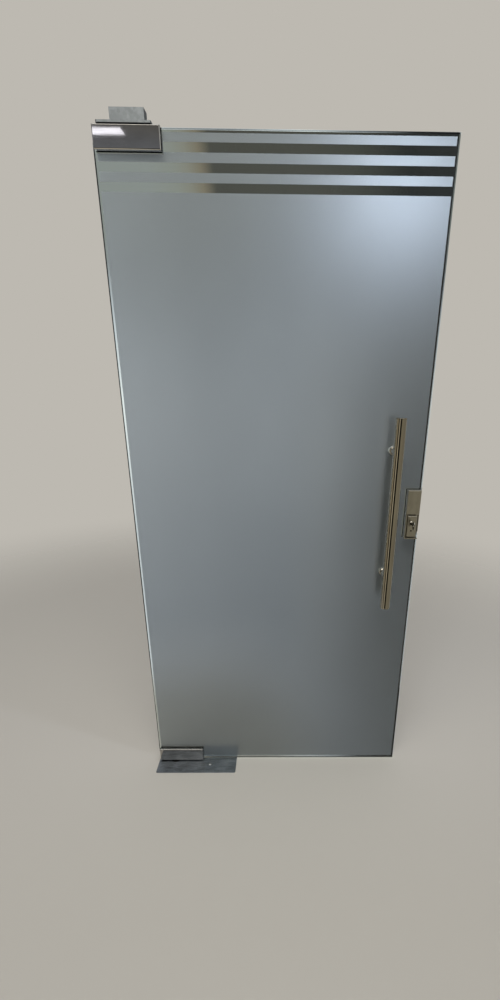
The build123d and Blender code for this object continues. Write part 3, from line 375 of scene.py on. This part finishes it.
def turned(profile, centre, axis, steps, closed=False):
    """A bmesh spun, as on a lathe, from a profile of radii and distances along the axis."""
    shape = bmesh.new()
    across = Vector((1.0, 0.0, 0.0))
    verts = [shape.verts.new(centre + across * radius + axis * along) for radius, along in profile]
    ends = verts[1:] + verts[:1] if closed else verts[1:]
    for a, b in zip(verts, ends):
        shape.edges.new((a, b))
    bmesh.ops.spin(
        shape, geom=shape.verts[:] + shape.edges[:], cent=centre, axis=axis, angle=2 * pi, steps=steps,
        use_merge=True,
    )
    bmesh.ops.remove_doubles(shape, verts=shape.verts, dist=weld)
    bmesh.ops.recalc_face_normals(shape, faces=shape.faces)
    return shape


def put_in(whole, part):
    """Moves one bmesh into another."""
    loose = bpy.data.meshes.new("loose")
    part.to_mesh(loose)
    part.free()
    whole.from_mesh(loose)
    bpy.data.meshes.remove(loose)


# Brushed stainless: lines along the tube, drawn several times too wide, smear its reflections round it
brushed_stainless = new_finish(
    "brushed_stainless", ("#A19B8E", "#B0AA9C"), roughness=(0.13, 0.06), patch=(30 * mm, 30 * mm, 120 * mm),
    grain=(0.6 * mm, 0.6 * mm, 90 * mm), relief=0.0008 * mm, metallic=1.0,
)
upwards = Vector((0.0, 0.0, 1.0))
for side, outwards in (("front", -1), ("rear", 1)):
    tube_low, tube_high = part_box("pull_tube_" + side)
    tube_radius = (tube_high.x - tube_low.x) / 2
    bore = tube_radius - tube_wall
    middle = (tube_low + tube_high) / 2
    axis = Vector((middle.x, middle.y, 0.0))
    wall = [(bore, tube_low.z), (tube_radius, tube_low.z), (tube_radius, tube_high.z), (bore, tube_high.z)]
    tube = turned(wall, axis, upwards, tube_steps, closed=True)
    ease(tube, tube_edge)
    finish_piece(tube, side + "_pull_tube", brushed_stainless, "pull_tube_" + side)

    cap_low, cap_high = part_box("pull_caps_" + side)
    caps = bmesh.new()
    for end, seat, inwards in ((cap_low.z, tube_low.z, 1), (cap_high.z, tube_high.z, -1)):
        plug = seat + inwards * cap_plug_depth
        outline = [
            (0.0, end), (tube_radius, end), (tube_radius, seat), (bore, seat), (bore, plug), (0.0, plug),
        ]
        cap = turned(outline, axis, upwards, tube_steps)
        ease(cap, cap_edge, segments=3)
        put_in(caps, cap)
    finish_piece(caps, side + "_pull_caps", brushed_stainless, "pull_caps_" + side)

    foot_low, foot_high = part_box("pull_posts_" + side)
    foot_radius = (foot_high.x - foot_low.x) / 2
    seat = foot_high.y if outwards < 0 else foot_low.y
    reach = abs(axis.y - seat) - tube_radius
    posts = bmesh.new()
    for level in (foot_low.z + foot_radius, foot_high.z - foot_radius):
        profile = [
            (0.0, 0.0), (foot_radius, 0.0), (foot_radius, foot_height - foot_bevel),
            (foot_radius - foot_bevel, foot_height),
        ]
        for step in range(fillet_steps + 1):
            swing = radians(90 * step / fillet_steps)
            profile.append((
                shank_radius + shank_fillet * (1 - sin(swing)),
                foot_height + shank_fillet * (1 - cos(swing)),
            ))
        profile += [(shank_radius, reach), (0.0, reach)]
        post = turned(profile, Vector((axis.x, seat, level)), Vector((0.0, outwards, 0.0)), post_steps)
        # The outer end is cut to the round of the tube, and bites into it a little
        top = seat + outwards * reach
        for vert in post.verts:
            if abs(vert.co.y - top) < end_slack:
                out = vert.co.x - axis.x
                vert.co.y = axis.y - outwards * (sqrt(tube_radius ** 2 - out ** 2) - saddle_bite)
        put_in(posts, post)
    finish_piece(posts, side + "_pull_posts", brushed_stainless, "pull_posts_" + side)
dress(zinc_plate, "pull_studs", "pull_grub_screws")
dress(moulded_nylon, "pull_sleeves", "pull_washers")

# Lock on the leading edge. Cast cases clamp a core in a notch of the glass. The front case has a raised rim
# round its lower half, a plain cap over its upper half and a block that carries the key cylinder. The
# cylinder's tail throws the bolt and takes the thumbturn on the far face.
cast_edge = 0.25 * mm
turned_edge = 0.15 * mm

# Satin nickel: warm grey, with light catching its eased edges. It is brushed up and down, in lines that are
# drawn several times too wide, so that they show
satin_nickel = new_finish(
    "satin_nickel_plate", ("#A5A195", "#B4B0A4"), roughness=(0.40, 0.26), patch=(14 * mm, 14 * mm, 30 * mm),
    grain=(0.35 * mm, 0.35 * mm, 18 * mm), relief=0.002 * mm, metallic=1.0,
)
# Bright nickel: paler and glossy
bright_nickel = new_finish(
    "bright_nickel_plate", ("#BDB9AE", "#CAC6BB"), roughness=(0.20, 0.10), patch=8 * mm, grain=1.5 * mm,
    relief=0.001 * mm, metallic=1.0,
)
# Dark zinc casting: lacquered nearly black. The near black is partly painted shade, for the shaded strip of
# core between the cases' edge and the glass edge
dark_zinc_and_painted_shade = new_finish(
    "lacquered_zinc_and_painted_shade", ("#222325", "#2D2E30"), roughness=(0.58, 0.44), patch=8 * mm, grain=0.8 * mm,
    relief=0.03 * mm,
)
for node in ("lock_case_front", "lock_cover_front", "lock_block", "lock_case_rear", "lock_cover_rear"):
    refine(node, satin_nickel, cast_edge)
for node in ("lock_cylinder", "lock_plug", "lock_key", "lock_thumbturn"):
    refine(node, bright_nickel, turned_edge)
refine("lock_faceplate", brushed_stainless, turned_edge)
# The core's near black paints the shade in the narrow strip at the leading edge, as well as its dark lacquer
dress(dark_zinc_and_painted_shade, "lock_core")
dress(machined_steel, "lock_bolt")
dress(zinc_plate, "lock_faceplate_screws", "lock_clamp_screws")
dress(pressed_fibre, "lock_gaskets")

# Studio floor. A pale matt sheet that fades into a pale surround, with a hole under the cover plate where the
# closer's box goes down. In glass and metal it fades nearer to the door.
floor_half = 4.0
floor_drop = 0.3 * mm
plate_lap = 4 * mm
fade_from = 1.6
fade_to = 3.6
mirrored_fade = 3.0

plate_low, plate_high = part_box("cover_plate")
hole_low = (plate_low.x + plate_lap, plate_low.y + plate_lap)
hole_high = (plate_high.x - plate_lap, plate_high.y - plate_lap)
floor_shape = bmesh.new()
rims = []
for low, high in ((hole_low, hole_high), ((-floor_half, -floor_half), (floor_half, floor_half))):
    corners = [low, (high[0], low[1]), high, (low[0], high[1])]
    ring = [floor_shape.verts.new((x, y, -floor_drop)) for x, y in corners]
    for a, b in zip(ring, ring[1:] + ring[:1]):
        rims.append(floor_shape.edges.new((a, b)))
bmesh.ops.bridge_loops(floor_shape, edges=rims)
bmesh.ops.recalc_face_normals(floor_shape, faces=floor_shape.faces)
floor_mesh = bpy.data.meshes.new("studio_floor")
floor_shape.to_mesh(floor_mesh)
floor_shape.free()
studio_floor = bpy.data.objects.new("studio_floor", floor_mesh)
bpy.context.scene.collection.objects.link(studio_floor)

# Pale matt paint: it takes the part's soft shadow, and clears away with distance
floor_paint, tree, matt, place = new_material("pale_floor")
rays = add(tree, "LightPath").outputs
indirect = add(tree, "Math", {0: rays["Is Glossy Ray"], 1: rays["Is Transmission Ray"]}, operation="ADD")
stretch = {0: indirect.outputs["Value"], 1: mirrored_fade - 1.0, 2: 1.0}
nearer = add(tree, "Math", stretch, operation="MULTIPLY_ADD").outputs["Value"]
radius = add(tree, "VectorMath", {0: place}, operation="LENGTH").outputs["Value"]
radius = add(tree, "Math", {0: radius, 1: nearer}, operation="MULTIPLY").outputs["Value"]
fading = {"Value": radius, "From Min": fade_from, "From Max": fade_to}
fade = add(tree, "MapRange", fading, interpolation_type="SMOOTHSTEP").outputs["Result"]
fill(tree, matt, {"Base Color": linear("#CDC9C1"), "Roughness": 0.9, "Specular IOR Level": 0.1})
clear = add(tree, "BsdfTransparent").outputs["BSDF"]
blended = add(tree, "MixShader", {0: fade, 1: matt.outputs["BSDF"], 2: clear})
tree.links.new(blended.outputs["Shader"], tree.nodes["Material Output"].inputs["Surface"])
floor_mesh.materials.append(floor_paint)

# Surround. To the eye it is one pale colour, and it lights matt surfaces evenly. Glass and metal mirror light
# and dark fields from all round, and others show through the glass from behind.
surround = "#BDB9B1"
even_light = 0.48
slant = -0.06
# A Mix node's sockets for colours: how much, from, to and the result
share, first, second, mixed = 0, 6, 7, 2

world = bpy.data.worlds.new("studio")
bpy.context.scene.world = world
world.use_nodes = True
world.cycles.sampling_method = "NONE"
tree = world.node_tree
toward = add(tree, "TexCoord").outputs["Generated"]
split = add(tree, "SeparateXYZ", {"Vector": toward}).outputs
rays = add(tree, "LightPath").outputs
height = add(tree, "MapRange", {"Value": split["Z"], "From Min": -1.0, "From Max": 1.0}).outputs["Result"]
bearing = add(tree, "TexGradient", {"Vector": toward}, gradient_type="RADIAL").outputs["Fac"]

# Mirrored low down, by bearing: the left at 0, the viewer's side at 0.25, the right at 0.5 and behind at 0.75
around = add(tree, "ValToRGB", {"Fac": bearing}, [
    (0.00, "#A89F8A"), (0.060, "#A89F8A"), (0.075, "#1E1C19"), (0.120, "#1E1C19"), (0.135, "#E0D8C4"),
    (0.165, "#E0D8C4"), (0.175, "#0C0B0A"), (0.25, "#0C0B0A"), (0.265, "#9C9684"), (0.30, "#9F9A8B"),
    (0.35, "#9A9586"), (0.50, "#918C7F"), (0.595, "#A9A9A4"), (0.605, "#E6E8E8"), (0.64, "#E6E8E8"),
    (0.65, "#A9A9A4"), (0.75, "#B4B6B5"), (1.00, "#A89F8A"),
]).outputs["Color"]
# Mirrored high up, by height, and pale to the right, where it lights the ends of the covers
upper = add(tree, "ValToRGB", {"Fac": height}, [
    (0.55, "#8A8883"), (0.655, "#81868E"), (0.69, "#7B7E84"), (0.71, "#716E66"), (0.80, "#6E6B64"),
    (0.90, "#C4C6C8"), (1.00, "#F4F6F8"),
]).outputs["Color"]
rightward = add(tree, "MapRange", {"Value": split["X"], "From Min": 0.80, "From Max": 0.90}).outputs["Result"]
pale_right = {share: rightward, first: upper, second: linear("#E0E2E0")}
upper = add(tree, "Mix", pale_right, data_type="RGBA").outputs[mixed]
lift = add(tree, "MapRange", {"Value": split["Z"], "From Min": 0.05, "From Max": 0.25}).outputs["Result"]
mirror = add(tree, "Mix", {share: lift, first: around, second: upper}, data_type="RGBA").outputs[mixed]

# Through the glass, up to head height: pale, a little darker at the foot and the head and dark to the right
below = add(tree, "ValToRGB", {"Fac": height}, [
    (0.20, "#D2D4D8"), (0.35, "#D2D5D9"), (0.48, "#FBFCFD"), (0.55, "#D8DCE1"), (0.61, "#979A9F"),
]).outputs["Color"]
across = add(tree, "ValToRGB", {"Fac": bearing}, [
    (0.690, "#0A0B0C"), (0.714, "#111315"), (0.730, "#B2B4B8"), (0.744, "#FDFEFF"), (0.766, "#B6B8BB"),
    (0.776, "#C2C3C6"), (0.800, "#FFFFFF"),
]).outputs["Color"]
darkened = {share: 1.0, first: below, second: across}
below = add(tree, "Mix", darkened, data_type="RGBA", blend_type="MULTIPLY").outputs[mixed]
# Over head height: dark, up to a pale field on the left whose edge slants
slanting = add(tree, "Math", {0: height, 1: slant, 2: bearing}, operation="MULTIPLY_ADD").outputs["Value"]
above = add(tree, "ValToRGB", {"Fac": slanting}, [
    (0.672, "#1D1D1B"), (0.686, "#3E3E38"), (0.700, "#48463F"), (0.7335, "#48463F"), (0.7345, "#857A68"),
    (0.740, "#8C8C84"), (0.750, "#8F918E"), (0.770, "#8F918E"), (0.785, "#E4E8E8"),
]).outputs["Color"]
overhead = add(tree, "MapRange", {"Value": height, "From Min": 0.59, "From Max": 0.63}).outputs["Result"]
beyond = add(tree, "Mix", {share: overhead, first: below, second: above}, data_type="RGBA").outputs[mixed]
behind = add(tree, "MapRange", {"Value": split["Y"], "From Min": -0.05, "From Max": 0.05}).outputs["Result"]
both_ways = {share: behind, first: linear("#8A8B8B"), second: beyond}
through = add(tree, "Mix", both_ways, data_type="RGBA").outputs[mixed]

# Matt surfaces get the even light, metal the mirrored fields, glass those behind, and the eye the surround
lit = {share: rays["Is Glossy Ray"], first: [even_light] * 3 + [1.0], second: mirror}
lit = add(tree, "Mix", lit, data_type="RGBA").outputs[mixed]
seen = {share: rays["Is Transmission Ray"], first: lit, second: through}
seen = add(tree, "Mix", seen, data_type="RGBA").outputs[mixed]
backdrop = {share: rays["Is Camera Ray"], first: seen, second: linear(surround)}
backdrop = add(tree, "Mix", backdrop, data_type="RGBA").outputs[mixed]
fill(tree, tree.nodes["Background"], {"Color": backdrop, "Strength": 1.0})

# Lamps. A large soft box hangs overhead in front of the door. A narrow panel to the left of it shows in the
# top cover's polish, and a small lamp close to the head of the leaf makes the film's soft bright patch.


def soft_lamp(name, size, power, colour, place, aim, **visible):
    """A rectangular soft lamp at a place, turned to its aim."""
    lamp = bpy.data.lights.new(name, "AREA")
    lamp.shape = "RECTANGLE"
    lamp.size, lamp.size_y = size
    lamp.energy = power
    lamp.color = linear(colour)[:3]
    holder = bpy.data.objects.new(name, lamp)
    bpy.context.scene.collection.objects.link(holder)
    holder.location = place
    holder.rotation_euler = (Vector(aim) - Vector(place)).to_track_quat("-Z", "Y").to_euler()
    holder.visible_camera = False
    for ray, shows in visible.items():
        setattr(holder, "visible_" + ray, shows)


soft_lamp(
    "ceiling_softbox", size=(2.4, 1.0), power=32.0, colour="#FFFBF4", place=(0.2, -1.3, 3.3),
    aim=(0.3, 0.0, 0.6), transmission=False,
)
soft_lamp(
    "ceiling_panel", size=(0.59, 0.073), power=0.33, colour="#F0F1FF", place=(-0.705, -1.4415, 2.6),
    aim=(-0.705, -1.4415, 0.0), transmission=False,
)
soft_lamp(
    "door_lamp", size=(0.16, 0.12), power=7.5, colour="#E2ECFF", place=(0.72, -0.265, 1.895),
    aim=(0.72, 0.0, 1.855), glossy=False, transmission=False,
)

# Camera. It stands where the photograph was taken, just under head height and close in front of the leaf, and
# looks down. Its shifts frame the door as the photograph does.
camera_place = (0.4103, -1.3211, 1.3831)
yaw, pitch, roll = radians(-0.721), radians(-18.725), radians(-0.502)

camera = bpy.data.cameras.new("camera")
camera.sensor_width = 36.0
camera.lens = 15.544
camera.shift_x = -0.0377
camera.shift_y = 0.0322
camera.clip_start = 0.01
viewer = bpy.data.objects.new("camera", camera)
bpy.context.scene.collection.objects.link(viewer)
turn = Matrix.Rotation(yaw, 4, "Z") @ Matrix.Rotation(pi / 2 + pitch, 4, "X") @ Matrix.Rotation(-roll, 4, "Z")
viewer.matrix_world = Matrix.Translation(camera_place) @ turn
bpy.context.scene.camera = viewer
bpy.context.scene.view_settings.view_transform = "Standard"
